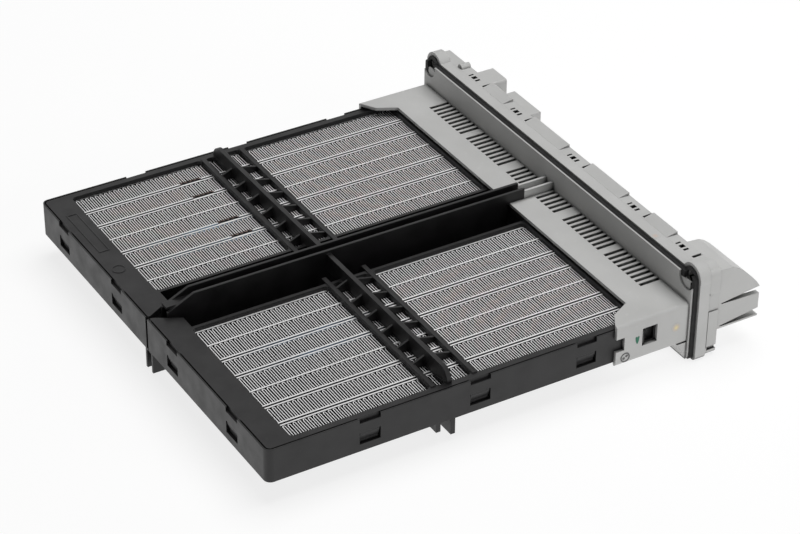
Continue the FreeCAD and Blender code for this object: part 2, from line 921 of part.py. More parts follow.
STONE_STEP = "(stone_length + stone_gap)"
CARRIER_START = f"((stack_start + stack_end - {STONES} * {STONE_STEP} + stone_gap) / 2)"


def stone_spans():
    """The span along X of each ceramic stone in a rod."""
    spans = []
    for number in range(STONES):
        start = f"{CARRIER_START} + {number} * {STONE_STEP}"
        spans.append((start, f"{start} + stone_length"))
    return spans


def stone_carriers():
    """Plastic comb of each rod that spaces its ceramic stones."""
    for name, side in SIDES.items():
        for number, row in enumerate(rod_rows(), start=1):
            face = row_faces(row)[1]
            y = spread(side, f"{face} + sheet_gauge", f"{face} + sheet_gauge + stone_gauge")
            comb = block(
                ("stack_start", "stack_end"),
                y,
                ("skin + carrier_recess", f"{COVER_UNDER} - carrier_recess"),
            )
            seats = [
                block(x, y, ("skin + carrier_rail", f"{COVER_UNDER} - carrier_rail"))
                for x in stone_spans()
            ]
            named(carved(comb, seats), f"stone_carrier_{name}_{number}")


def ceramic_stones():
    """The heating ceramic of one zone: a row of separate stones in each of its rods."""
    for name, side in SIDES.items():
        stones = []
        for row in rod_rows():
            face = row_faces(row)[1]
            y = spread(side, f"{face} + sheet_gauge", f"{face} + sheet_gauge + stone_gauge")
            for low, high in stone_spans():
                x = (f"{low} + seat_play", f"{high} - seat_play")
                z = ("skin + carrier_rail + seat_play", f"{COVER_UNDER} - carrier_rail - seat_play")
                stones.append(block(x, y, z))
        group = doc.addObject("Part::Compound", "Stones")
        group.Links = stones
        named(group, f"ceramic_stones_{name}")


def stack_springs():
    """Wavy leaf spring between each outer plate and the frame's wall."""
    waves = 9
    start = size("stack_start") + size("fin_inset")
    length = size("stack_end") - size("stack_start") - 2 * size("fin_inset")
    step = length / (2 * waves)
    gauge = size("spring_gauge")
    room = size("spring_room")
    near = []
    for bend in range(2 * waves + 1):
        near.append((start + bend * step, 0 if bend % 2 else room - gauge))
    far = [(x, y + gauge) for x, y in near[::-1]]
    points = [FreeCAD.Vector(x, y, 0) for x, y in near + far]
    depth = size("frame_height") - 2 * size("skin") - 1
    leaf = Part.Face(Part.makePolygon(points + points[:1])).extrude(FreeCAD.Vector(0, 0, depth))
    for name, side in SIDES.items():
        spring = doc.addObject("Part::Feature", "Spring")
        spring.Shape = leaf
        spring.Label = f"stack_spring_{name}"
        inner = value(f"{row_faces(ROWS)[1]} + plate_gauge")
        y = inner if side > 0 else -inner - room
        z = size("skin") + 0.5 - size("screw_height")
        spring.Placement = FreeCAD.Placement(FreeCAD.Vector(-size("seal_seat"), y, z), FreeCAD.Rotation())
        parts.append(spring)


def hood_plan():
    """The housing's outline seen from above, with its bevelled front corners."""
    side = f"({HALF} + hood_side)"
    right = [
        ("hood_front", "hood_straight"),
        ("hood_bend_x", "hood_bend_y"),
        ("hood_tip", HALF),
        ("hood_tip", side),
        ("wall_front + 0.1", side),
    ]
    left = [(x, f"-({y})") for x, y in right[::-1]]
    return right + left


def hood_shell():
    """The hood before it is hollowed, with its long edges rounded."""
    side = f"{HALF} + hood_side"
    envelope = rounded_block(
        "x",
        {
            "x": ("hood_tip - 1", "wall_front + 1"),
            "y": (f"-({side})", side),
            "z": ("-hood_bottom", HOOD_TOP),
        },
        "hood_round",
    )
    shell = doc.addObject("Part::MultiCommon", "Hood")
    shell.Shapes = [prism("xy", hood_plan(), "-hood_bottom", HOOD_TOP), envelope]
    return shell


def eared_slab(x, ear_x, ear, half, low, high, radius):
    """A plate across the plugs' end with an ear at each upper corner for the screws."""
    solids = [rounded_block("x", {"x": x, "y": (f"-({half})", half), "z": (low, high)}, radius)]
    for side in SIDES.values():
        centre = (f"{side} * screw_spacing / 2", "screw_height")
        solids.append(round_bar("x", centre, ear_x, ear))
    return joined(solids)


def neck_block(start, end):
    """A block inside the flange's rim, between two places along X."""
    return block(
        (start, end),
        ("-flange_half + rim_width", "flange_half - rim_width"),
        ("flange_low + rim_width", "flange_top - rim_width"),
    )


def screw_tools(x):
    """The two screw holes through the flange's ears."""
    return [
        round_bar("x", (f"{side} * screw_spacing / 2", "screw_height"), x, "screw_radius")
        for side in SIDES.values()
    ]


def slot_tools():
    """The rows of narrow air slots in the housing's top."""
    tools = []
    for side in SIDES.values():
        for first, count in SLOT_GROUPS:
            for number in range(count):
                middle = f"{first} + {number} * slot_step"
                y = spread(side, f"{middle} - slot_width / 2", f"{middle} + slot_width / 2")
                tools.append(
                    block(("slot_start", "wall_front"), y, ("frame_height - 1", f"{HOOD_TOP} + 1")),
                )
    return tools


def electronics_housing():
    """Grey housing: hood over the frame's end, seal lip, flange with ears and board chamber."""
    hood = hood_shell()
    lip_half = "flange_half - lip_inset"
    lip_low = "flange_low + lip_low_inset"
    lip_top = "flange_top - lip_top_inset"
    lip = rounded_block(
        "x",
        {
            "x": ("wall_front", "wall_front + lip_gauge"),
            "y": (f"-({lip_half})", lip_half),
            "z": (lip_low, lip_top),
        },
        "flange_radius",
    )
    neck = neck_block("wall_front", "seal_seat + 0.1")
    rim = eared_slab(
        ("seal_seat", "rim_back"),
        ("seal_seat", "rim_back"),
        "ear_radius",
        "flange_half",
        "flange_low",
        "flange_top",
        "flange_radius",
    )
    flare = prism(
        "xz",
        [
            ("wall_front - flare_length", "-hood_bottom"),
            ("wall_front + 0.1", "-hood_bottom"),
            ("wall_front + 0.1", lip_low),
        ],
        f"-{HALF} - hood_side",
        f"{HALF} + hood_side",
    )
    ribs = [
        block(
            ("ridge_end", "wall_front + 0.1"),
            spread(side, "ridge_gap / 2", RIDGE_OUT),
            ("frame_height", "grey_rib_top"),
        )
        for side in SIDES.values()
    ]
    posts = []
    for side in SIDES.values():
        posts.append(
            round_bar(
                "x",
                (f"{side} * post_place", "post_height"),
                ("seal_seat + chamber_floor - 0.1", "board_front"),
                "post_radius",
            ),
        )
    shell = joined([hood, lip, neck, rim, flare] + ribs)
    inside = f"{HALF} + seat_play"
    tools = [
        block(
            ("hood_tip - 1", "wall_front"),
            (f"-({inside})", inside),
            ("-seat_play", "frame_height + seat_play"),
        ),
        block(
            ("hood_tip - 1", "hood_front + hood_gap_depth"),
            (f"-({inside})", inside),
            ("frame_height - 1", "frame_height + hood_gap"),
        ),
        neck_block("seal_seat + chamber_floor", "rim_back + 1"),
    ]
    tools += slot_tools()
    tools += screw_tools(("seal_seat - 1", "rim_back + 1"))
    for side in SIDES.values():
        tools += tab_tools(side, ("wall_front - 1", "seal_seat + chamber_floor + 0.1"))
        centre = (f"{side} * screw_spacing / 2", "screw_height")
        tools.append(round_bar("x", centre, ("wall_front - 1", "wall_front + lip_gauge"), "lip_scallop"))
        seat = round_bar(
            "x", centre, ("seal_seat", "seal_seat + seal_ear_depth"), "seal_ear + seat_play"
        )
        tools.append(carved(seat, [neck_block("seal_seat - 1", "rim_back")]))
        reach = spread(side, f"{HALF} - 1", f"{HALF} + hood_side + 1")
        tools.append(block(("latch_start", "latch_end"), reach, ("latch_low", "latch_high")))
        tools.append(block(("hood_tip - 1", "notch_end"), reach, ("notch_low", "notch_high")))
    return named(joined([carved(shell, tools)] + posts), "electronics_housing")


def flange_seal():
    """Soft gasket in the groove between the housing's lip and its flange, with ears round the screws."""
    x = ("wall_front + lip_gauge", "seal_seat")
    outer = eared_slab(
        x,
        ("seal_seat - seal_ear_rise", "seal_seat + seal_ear_depth"),
        "seal_ear",
        "flange_half - seal_inset",
        "flange_low + lip_low_inset",
        "flange_top - seal_top_inset",
        "flange_radius",
    )
    inner = neck_block("wall_front", "seal_seat + seal_ear_depth + 1")
    return named(carved(outer, [inner] + screw_tools(("wall_front", "seal_seat + 1"))), "flange_seal")


def snap_places():
    """Middle of each snap window along the rear cover's top edge."""
    return [
        "snap_middle + snap_step + snap_end_step",
        "snap_middle + snap_step",
        "snap_middle",
        "snap_middle - snap_step",
        "snap_middle - snap_step - snap_end_step",
    ]


def cover_pads():
    """Raised pads on the cover's top edge between the snap windows."""
    places = snap_places()
    pads = []
    for above, below in zip(places, places[1:]):
        y = (f"{below} + snap_before", f"{above} - snap_after")
        points = [
            ("rim_back", "flange_top - 1"),
            ("cover_back", "flange_top - 1"),
            ("cover_back", "flange_top + pad_rise"),
            ("rim_back + pad_ramp", "flange_top + pad_rise"),
            ("rim_back", "flange_top"),
        ]
        pads.append(prism("xz", points, *y))
    return pads


def snap_tools():
    """The slit and the three small marks of each snap window."""
    tools = []
    depth = ("flange_top - snap_depth", "flange_top + pad_rise + 1")
    for place in snap_places():
        slit = f"{place} - snap_after + snap_slit / 2"
        tools.append(
            block(
                ("rim_back + snap_slit_start", "cover_back + 1"),
                (f"{slit} - snap_slit / 2", f"{slit} + snap_slit / 2"),
                depth,
            ),
        )
        for share, width in (("1", "0.9"), ("0", "2.1"), ("-1", "1.2")):
            middle = f"{place} + {share} * snap_spread"
            tools.append(
                block(
                    ("rim_back + 0.6", "rim_back + 0.6 + snap_mark"),
                    (f"{middle} - {width} / 2", f"{middle} + {width} / 2"),
                    depth,
                ),
            )
    return tools


def curved_back(y, x, low, inset):
    """A block on the rear cover whose top falls to its back along the shroud's curve."""
    depth = f"(plug_back - {inset} - ({x}))"
    points = [
        (f"{x} + {depth} * {share}", f"plug_hip + (plug_top - plug_hip) * {rise} - {inset}")
        for share, rise in PLUG_CURVE
    ]
    points += [(f"plug_back - {inset}", low), (x, low)]
    return prism("xz", points, *y)


def big_plug():
    """Shroud of the power plug, moulded on the rear cover."""
    return curved_back(("plug_side", "plug_side + plug_width"), "cover_back - 1", "plug_low", "0")


def wedge(tip, top, floor):
    """Corners of a cut in the shroud's side that opens towards the back."""
    return [
        ("cover_back + plug_cut_start", tip),
        ("plug_back + 1", floor),
        ("plug_back + 1", top),
        ("cover_back + plug_cut_start", f"{tip} + 0.4"),
    ]


def big_plug_tools():
    """The power plug's cavity and mouth, and the two guide cuts in its side."""
    inside = ("plug_side + plug_wall", "plug_side + plug_width - plug_wall")
    x = "cover_back + plug_floor"
    side_cut = ("plug_side - 1", "plug_side + plug_wall + 1")
    return [
        curved_back(inside, x, "plug_low + plug_wall / 2", "plug_wall"),
        block((x, "plug_back + 1"), inside, ("plug_low + plug_wall / 2", "plug_mouth_top")),
        prism("xz", wedge("high_cut_tip", "high_cut_top", "high_cut_floor"), *side_cut),
        prism("xz", wedge("low_cut_tip", "low_cut_top", "low_cut_floor"), *side_cut),
    ]


def side_tools():
    """Groove beside the flange, shallow recess and grip notch in each side of the cover."""
    tools = []
    for side in SIDES.values():
        groove = spread(side, "flange_half - cover_inset - side_groove", "flange_half + 1")
        tools.append(
            block(
                ("rim_back", "rim_back + side_groove"),
                groove,
                ("flange_low + rim_width", "screw_height - ear_radius - side_groove"),
            ),
        )
        recess = spread(side, "flange_half - cover_inset - side_recess", "flange_half + 1")
        tools.append(
            block(("rim_back", "cover_back + 1"), recess, ("side_recess_low", "side_recess_high")),
        )
        notch = spread(side, "flange_half - cover_inset - side_notch", "flange_half + 1")
        tools.append(
            block(("rim_back + 1", "cover_back + 1"), notch, ("side_notch_low", "side_notch_high")),
        )
    return tools


def rear_cover():
    """Grey cover that closes the board chamber, with pads, snap windows and plug shrouds."""
    half = "flange_half - cover_inset"
    lid = rounded_block(
        "x",
        {
            "x": ("rim_back", "cover_back"),
            "y": (f"-({half})", half),
            "z": ("flange_low + cover_inset", "flange_top"),
        },
        "flange_radius",
    )
    chamber = neck_block("rim_back - 1", "cover_back - cover_wall")
    ribs = []
    for side in SIDES.values():
        middle = f"{side} * post_place"
        ribs.append(
            block(
                ("board_front + board_gauge", "cover_back - 1"),
                (f"{middle} - rib_gauge / 2", f"{middle} + rib_gauge / 2"),
                ("post_height - 3", "post_height + 3"),
            )
        )
    small = ("small_plug_start", "small_plug_start + small_plug_width")
    small_plug = block(("cover_back - 1", "small_plug_back"), small, ("small_plug_low", "small_plug_top"))
    small_cavity = block(
        ("cover_back", "small_plug_back + 1"),
        (f"{small[0]} + small_plug_wall", f"{small[1]} - small_plug_wall"),
        ("small_plug_low + small_plug_wall", "small_plug_top - small_plug_wall"),
    )
    tower = rounded_block(
        "x",
        {
            "x": ("cover_back - 1", "block_back"),
            "y": ("block_start", "block_start + block_width"),
            "z": ("block_low", "flange_top"),
        },
        "block_radius",
    )
    ear_boss = round_bar(
        "x", ("-screw_spacing / 2", "screw_height"), ("rim_back", "cover_back"), "ear_boss"
    )
    lid_shell = joined(
        [carved(lid, [chamber])] + cover_pads() + [ear_boss, tower, small_plug, big_plug()]
    )
    tools = [small_cavity] + big_plug_tools() + snap_tools() + contact_tools() + side_tools()
    shell = carved(lid_shell, tools)
    boss = round_bar(
        "x", ("pin_boss_place", "flange_top"), ("rim_back + pin_boss_step", "cover_back"), "pin_boss_radius"
    )
    boss_room = block(
        ("rim_back - 1", "cover_back + 1"),
        ("pin_boss_place - 5", "pin_boss_place + 5"),
        ("0", "flange_top - 0.5"),
    )
    return named(joined([shell, carved(boss, [boss_room])] + ribs), "rear_cover")


PIN_AXIS = "(small_plug_low + small_plug_top) / 2"


def power_places():
    """Middle of each power terminal across the big plug."""
    middle = "plug_side + plug_width / 2"
    return [f"{middle} - terminal_spacing / 2", f"{middle} + terminal_spacing / 2"]


def pin_places():
    """Middle of each signal pin across the small plug."""
    middle = f"small_plug_start + small_plug_width / 2 - {PINS - 1} * pin_spacing / 2"
    return [f"{middle} + {number} * pin_spacing" for number in range(PINS)]


def contact_tools():
    """Passages through the cover's back for the power terminals and the signal pins."""
    tools = []
    for middle in power_places():
        tools.append(
            block(
                ("cover_back - cover_wall - 1", "cover_back + plug_floor + 1"),
                (
                    f"{middle} - terminal_gauge / 2 - slot_play",
                    f"{middle} + terminal_gauge / 2 + slot_play",
                ),
                ("plug_axis - blade_width / 2 - slot_play", "plug_axis + blade_width / 2 + slot_play"),
            )
        )
    for middle in pin_places():
        tools.append(
            block(
                ("cover_back - cover_wall - 1", "cover_back + 1"),
                (f"{middle} - pin_gauge / 2 - slot_play", f"{middle} + pin_gauge / 2 + slot_play"),
                (f"{PIN_AXIS} - pin_gauge / 2 - slot_play", f"{PIN_AXIS} + pin_gauge / 2 + slot_play"),
            )
        )
    return tools


def terminals():
    """Two flat power terminals and a row of signal pins, all standing on the circuit board."""
    back = "board_front + board_gauge"
    blades = [
        block(
            (back, "terminal_end"),
            (f"{middle} - terminal_gauge / 2", f"{middle} + terminal_gauge / 2"),
            ("plug_axis - blade_width / 2", "plug_axis + blade_width / 2"),
        )
        for middle in power_places()
    ]
    pins = [
        block(
            (back, "pin_end"),
            (f"{middle} - pin_gauge / 2", f"{middle} + pin_gauge / 2"),
            (f"{PIN_AXIS} - pin_gauge / 2", f"{PIN_AXIS} + pin_gauge / 2"),
        )
        for middle in pin_places()
    ]
    for label, solids in (("power_terminals", blades), ("signal_pins", pins)):
        group = doc.addObject("Part::Compound", "Group")
        group.Links = solids
        named(group, label)


def circuit_board():
    """Board across the chamber, between the housing's posts and the cover's ribs."""
    points = rectangle(("-board_half", "board_half"), ("board_low", "board_high"))
    padded("circuit_board", "yz", points, "board_front", "board_front + board_gauge")


def power_transistors():
    """Flat switching transistors on the board's front, one beside each contact tab."""
    solids = []
    for side in SIDES.values():
        for row in rod_rows():
            inner = tab_faces(row)[0]
            y = spread(side, f"{inner} - 3 - transistor_width", f"{inner} - 3")
            top = "board_high - 1"
            solids.append(
                block(
                    ("board_front - transistor_gauge", "board_front"),
                    y,
                    (f"{top} - transistor_height", top),
                ),
            )
    group = doc.addObject("Part::Compound", "Transistors")
    group.Links = solids
    named(group, "power_transistors")


def check_and_write():
    """Stops on any failed object, then writes one file for each sub-part."""
    doc.recompute()
    for thing in doc.Objects:
        if "Invalid" in thing.State or "Error" in thing.State:
            raise RuntimeError(f"{thing.Name} ({thing.Label}) failed: {thing.State}")
    for part in parts:
        if part.Shape.isNull() or not part.Shape.isValid() or not part.Shape.Solids:
            raise RuntimeError(f"{part.Label} has no valid solid")
    os.makedirs("parts", exist_ok=True)
    for part in parts:
        part.Shape.exportStep(f"parts/{part.Label}.step")
        print(part.Label, len(part.Shape.Solids), round(part.Shape.Volume, 1))


fill_sheet()
frame_lower()
frame_upper()
fin_rows()
stack_plates()
contact_sheets()
stone_carriers()
ceramic_stones()
stack_springs()
electronics_housing()
flange_seal()
rear_cover()
circuit_board()
power_transistors()
terminals()
check_and_write()
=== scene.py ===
import json
import math
import random

import bmesh
import bpy
from mathutils import Matrix, Vector

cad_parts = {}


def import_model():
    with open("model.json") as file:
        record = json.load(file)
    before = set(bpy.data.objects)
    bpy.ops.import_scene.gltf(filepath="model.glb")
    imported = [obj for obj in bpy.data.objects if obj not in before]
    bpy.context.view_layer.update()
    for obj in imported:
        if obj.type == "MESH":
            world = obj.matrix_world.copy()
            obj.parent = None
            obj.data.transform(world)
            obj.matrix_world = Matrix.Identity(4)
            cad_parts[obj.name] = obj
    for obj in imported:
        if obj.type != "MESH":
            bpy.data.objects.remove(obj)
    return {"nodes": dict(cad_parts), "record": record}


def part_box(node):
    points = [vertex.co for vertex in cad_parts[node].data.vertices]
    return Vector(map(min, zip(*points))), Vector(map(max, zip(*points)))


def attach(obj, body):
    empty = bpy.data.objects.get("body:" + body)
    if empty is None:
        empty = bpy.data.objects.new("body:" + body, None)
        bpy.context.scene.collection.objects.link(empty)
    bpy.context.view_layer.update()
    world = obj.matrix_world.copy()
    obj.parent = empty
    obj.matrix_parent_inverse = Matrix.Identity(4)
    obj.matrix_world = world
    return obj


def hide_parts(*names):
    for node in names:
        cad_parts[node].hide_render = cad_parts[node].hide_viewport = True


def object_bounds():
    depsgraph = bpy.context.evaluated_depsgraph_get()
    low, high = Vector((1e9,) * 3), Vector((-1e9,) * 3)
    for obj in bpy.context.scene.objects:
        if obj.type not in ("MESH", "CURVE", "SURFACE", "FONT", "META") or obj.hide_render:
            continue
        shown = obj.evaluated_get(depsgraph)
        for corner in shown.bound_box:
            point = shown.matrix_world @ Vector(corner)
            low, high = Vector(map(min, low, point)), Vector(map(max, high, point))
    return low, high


# Looks of the two-zone air heater: metres, +X towards the plugs, +Y across the zones, +Z up.

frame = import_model()
NODES = frame["nodes"]
CAD_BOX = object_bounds()

MM = 0.001
random.seed(7)

# The part's own origin, in the frame that starts at the free end, the middle and the underside
ORIGIN = Vector((192.5, 0.0, 27.2)) * MM

# Upright faces of strips are painted dark as shade, with a painted pale bluish highlight on the middle
# stretch of two rods in each zone
DARK_AND_PAINTED_SHADE = (0.012, 0.012, 0.013)
PAINTED_HIGHLIGHT_COLOR = (0.3, 0.42, 0.55)
PAINTED_HIGHLIGHT_MIDDLE = 52.0 * MM - ORIGIN.x
PAINTED_HIGHLIGHT_REACH = 34.0 * MM
HIGHLIGHTED_RODS = ("_1_", "_2_")

# Fin rows of the left zone are stained beside the cut-outs of their plates
STAIN_SPAN = (58.0 * MM - ORIGIN.x, 68.2 * MM - ORIGIN.x)
STAIN_REACH = 1.1 * MM
STAINED_ROWS = [f"fin_row_left_{row}" for row in (1, 3, 4, 6, 7)]

# Camera, found from the photograph's perspective: place, aim and focal length
IMAGE_WIDTH = 800
FOCAL_PIXELS = 2716.3
SENSOR_MM = 36.0
CAMERA_AT = Vector((-559.156, -807.142, 598.267)) * MM
CAMERA_RIGHT = Vector((0.86030576, -0.50973266, 0.00682779))
CAMERA_UP = Vector((0.27715249, 0.47892387, 0.83295764))
CAMERA_BACK = Vector((-0.42785571, -0.71470591, 0.55329464))
CLIP_START = 0.05
CLIP_END = 20.0

# Painted shade in crevices: the share of open surroundings at which it is darkest and at which a face
# counts as open
SHADE_DARKEST_AT = 0.42
SHADE_NONE_AT = 0.78
PAINTED_SHADE_COLOR = (0.004, 0.004, 0.004)
GREY_SHADE = (0.59, 0.59, 0.58)

# Radii of the paint dots, in millimetres
YELLOW_RADIUS = 2.2
ORANGE_RADIUS = 2.0

# Edges are shaded as if rounded by the first radius, and made paler within the second, partly as wear and
# partly as painted highlight
EDGE_RADIUS = 0.3 * MM
RUB_AND_HIGHLIGHT_RADIUS = 0.35 * MM
BEVEL_SAMPLES = 4
SHADE_SAMPLES = 6


# Materials

def new_material(name, color, roughness, metallic=0.0):
    """A principled material whose constant values sit on the shader's own sockets."""
    made = bpy.data.materials.new(name)
    made.use_nodes = True
    shader = made.node_tree.nodes["Principled BSDF"]
    shader.inputs["Base Color"].default_value = (*color, 1.0)
    shader.inputs["Roughness"].default_value = roughness
    shader.inputs["Metallic"].default_value = metallic
    return made, made.node_tree, shader


def place(tree):
    """The object's own coordinates, in metres."""
    return tree.nodes.new("ShaderNodeTexCoord").outputs["Object"]


def noise(tree, per_metre, detail=2.0, stretch=(1, 1, 1)):
    """A noise field whose grains are about one over per_metre wide."""
    mapping = tree.nodes.new("ShaderNodeMapping")
    mapping.inputs["Scale"].default_value = stretch
    tree.links.new(place(tree), mapping.inputs["Vector"])
    field = tree.nodes.new("ShaderNodeTexNoise")
    field.inputs["Scale"].default_value = per_metre
    field.inputs["Detail"].default_value = detail
    tree.links.new(mapping.outputs["Vector"], field.inputs["Vector"])
    return field.outputs["Fac"]


def spread_to(tree, source, low, high, start=0.3, end=0.7):
    """Turns a noise value into a number between low and high."""
    reach = tree.nodes.new("ShaderNodeMapRange")
    reach.inputs["From Min"].default_value = start
    reach.inputs["From Max"].default_value = end
    reach.inputs["To Min"].default_value = low
    reach.inputs["To Max"].default_value = high
    tree.links.new(source, reach.inputs["Value"])
    return reach.outputs["Result"]


def mixed(tree, factor, first, second):
    """A colour between two others; either may be a socket or three numbers."""
    mix = tree.nodes.new("ShaderNodeMix")
    mix.data_type = "RGBA"
    tree.links.new(factor, mix.inputs["Factor"])
    for name, color in (("A", first), ("B", second)):
        socket = next(s for s in mix.inputs if s.name == name and s.type == "RGBA")
        if isinstance(color, tuple):
            socket.default_value = (*color, 1.0)
        else:
            tree.links.new(color, socket)
    return next(s for s in mix.outputs if s.type == "RGBA")


def bumped(tree, shader, *layers, round_edges=0.0):
    """Bump layers of (height socket, depth in metres, strength) over softly rounded edges."""
    normal = None
    if round_edges:
        bevel = tree.nodes.new("ShaderNodeBevel")
        bevel.samples = BEVEL_SAMPLES
        bevel.inputs["Radius"].default_value = round_edges
        normal = bevel.outputs["Normal"]
    for height, depth, strength in layers:
        bump = tree.nodes.new("ShaderNodeBump")
        bump.inputs["Distance"].default_value = depth
        bump.inputs["Strength"].default_value = strength
        tree.links.new(height, bump.inputs["Height"])
        if normal:
            tree.links.new(normal, bump.inputs["Normal"])
        normal = bump.outputs["Normal"]
    tree.links.new(normal, shader.inputs["Normal"])


def edge_mask(tree, radius, start=0.002, end=0.06):
    """One along convex and concave edges, nought on flat faces."""
    bevel = tree.nodes.new("ShaderNodeBevel")
    bevel.samples = BEVEL_SAMPLES
    bevel.inputs["Radius"].default_value = radius
    geometry = tree.nodes.new("ShaderNodeNewGeometry")
    dot = tree.nodes.new("ShaderNodeVectorMath")
    dot.operation = "DOT_PRODUCT"
    tree.links.new(bevel.outputs["Normal"], dot.inputs[0])
    tree.links.new(geometry.outputs["Normal"], dot.inputs[1])
    return spread_to(tree, dot.outputs["Value"], 1.0, 0.0, 1.0 - end, 1.0 - start)


def faces_up(tree):
    """One on faces that look upwards, nought on upright ones."""
    geometry = tree.nodes.new("ShaderNodeNewGeometry")
    split = tree.nodes.new("ShaderNodeSeparateXYZ")
    tree.links.new(geometry.outputs["True Normal"], split.inputs["Vector"])
    return spread_to(tree, split.outputs["Z"], 0.0, 1.0, 0.5, 0.8)


def painted_crevice_shade(tree, reach):
    """Painted shade mask: one in slots, windows and narrow gaps, nought on open faces."""
    shade = tree.nodes.new("ShaderNodeAmbientOcclusion")
    shade.samples = SHADE_SAMPLES
    shade.inputs["Distance"].default_value = reach
    return spread_to(tree, shade.outputs["AO"], 1.0, 0.0, SHADE_DARKEST_AT, SHADE_NONE_AT)


def moulded_plastic(name, dark, light, wear_and_highlight, rough, grain_depth, shade_reach=0.0):
    """Moulded plastic: cloudy colour, fine spark-eroded grain, flow marks, edges made paler as partly wear
    and partly painted highlight, and painted shade in crevices where a reach is given.
    """
    made, tree, shader = new_material(name, dark, rough[0])
    cloud = spread_to(tree, noise(tree, 45, 4), 0.0, 1.0)
    body = mixed(tree, cloud, dark, light)
    scuff = noise(tree, 350, 6, (1, 1, 3))
    scuffed = mixed(tree, spread_to(tree, scuff, 0.0, 0.35, 0.62, 0.74), body, wear_and_highlight)
    # Paler edges: partly wear, partly painted highlight
    rub_and_highlight = tree.nodes.new("ShaderNodeMath")
    rub_and_highlight.operation = "MULTIPLY"
    tree.links.new(edge_mask(tree, RUB_AND_HIGHLIGHT_RADIUS), rub_and_highlight.inputs[0])
    tree.links.new(spread_to(tree, noise(tree, 220, 3), 0.05, 0.55), rub_and_highlight.inputs[1])
    color = mixed(tree, rub_and_highlight.outputs["Value"], scuffed, wear_and_highlight)
    # Painted shade: slots, windows and narrow gaps darkened towards near black
    if shade_reach:
        color = mixed(tree, painted_crevice_shade(tree, shade_reach), color, PAINTED_SHADE_COLOR)
    tree.links.new(color, shader.inputs["Base Color"])
    tree.links.new(spread_to(tree, noise(tree, 120, 5), rough[0], rough[1]), shader.inputs["Roughness"])
    bumped(
        tree,
        shader,
        (noise(tree, 3200, 2), grain_depth, 0.6),
        (noise(tree, 60, 1), 0.05 * MM, 0.25),
        round_edges=EDGE_RADIUS,
    )
    return made


def rolled_metal(name, color, tint, rough, along=(1, 1, 1), metallic=1.0):
    """Rolled strip: faint lines along the rolling direction, cloudy tint and small dents."""
    made, tree, shader = new_material(name, color, rough[0], metallic)
    cloud = spread_to(tree, noise(tree, 90, 3), 0.0, 1.0)
    tree.links.new(mixed(tree, cloud, color, tint), shader.inputs["Base Color"])
    lines = noise(tree, 900, 3, along)
    tree.links.new(spread_to(tree, lines, rough[0], rough[1]), shader.inputs["Roughness"])
    bumped(tree, shader, (lines, 0.01 * MM, 0.35), (noise(tree, 500, 2), 0.03 * MM, 0.3))
    return made


def soft_rubber(name, dark, light):
    """Closed-cell gasket rubber: dull, with fine pores and a dusty bloom."""
    made, tree, shader = new_material(name, dark, 0.8)
    pores = noise(tree, 2600, 4)
    tree.links.new(mixed(tree, spread_to(tree, pores, 0.0, 1.0), dark, light), shader.inputs["Base Color"])
    tree.links.new(spread_to(tree, noise(tree, 300, 3), 0.68, 0.92), shader.inputs["Roughness"])
    bumped(tree, shader, (pores, 0.05 * MM, 0.7))
    return made


def shade_and_highlight(tree):
    """Painted shade between the contact sheets, with a painted pale bluish highlight over its middle
    stretch.
    """
    split = tree.nodes.new("ShaderNodeSeparateXYZ")
    tree.links.new(place(tree), split.inputs["Vector"])
    offset = tree.nodes.new("ShaderNodeMath")
    offset.operation = "SUBTRACT"
    tree.links.new(split.outputs["X"], offset.inputs[0])
    offset.inputs[1].default_value = PAINTED_HIGHLIGHT_MIDDLE
    reach = tree.nodes.new("ShaderNodeMath")
    reach.operation = "ABSOLUTE"
    tree.links.new(offset.outputs["Value"], reach.inputs[0])
    middle = spread_to(tree, reach.outputs["Value"], 1.0, 0.0, 0.3 * PAINTED_HIGHLIGHT_REACH, PAINTED_HIGHLIGHT_REACH)
    cloud = spread_to(tree, noise(tree, 70, 2), 0.25, 1.0)
    highlight_share = tree.nodes.new("ShaderNodeMath")
    highlight_share.operation = "MULTIPLY"
    tree.links.new(middle, highlight_share.inputs[0])
    tree.links.new(cloud, highlight_share.inputs[1])
    return mixed(tree, highlight_share.outputs["Value"], DARK_AND_PAINTED_SHADE, PAINTED_HIGHLIGHT_COLOR)


def carrier_plastic():
    """Dark comb between the contact sheets: its near black partly its own colour and partly painted shade,
    with the painted pale bluish highlight over its middle stretch.
    """
    made, tree, shader = new_material("carrier_plastic", DARK_AND_PAINTED_SHADE, 0.6)
    tree.links.new(shade_and_highlight(tree), shader.inputs["Base Color"])
    bumped(tree, shader, (noise(tree, 1500, 2), 0.02 * MM, 0.5))
    return made


def strip_edge(name, bright, dull, rough, painted_highlight=False):
    """Thin aluminium strip: its cut edge pale and matt, its upright faces painted dark as shade, and on
    highlighted strips given the painted pale bluish highlight too.
    """
    made, tree, shader = new_material(name, bright, rough)
    cloud = spread_to(tree, noise(tree, 160, 4), 0.0, 1.0)
    edge = mixed(tree, cloud, bright, dull)
    # Upright faces: painted shade, with the painted pale bluish highlight on highlighted strips
    side = shade_and_highlight(tree) if painted_highlight else DARK_AND_PAINTED_SHADE
    tree.links.new(mixed(tree, faces_up(tree), side, edge), shader.inputs["Base Color"])
    dullness = spread_to(tree, noise(tree, 700, 2), rough - 0.08, rough + 0.1)
    tree.links.new(dullness, shader.inputs["Roughness"])
    bumped(tree, shader, (noise(tree, 2400, 2), 0.01 * MM, 0.5))
    return made


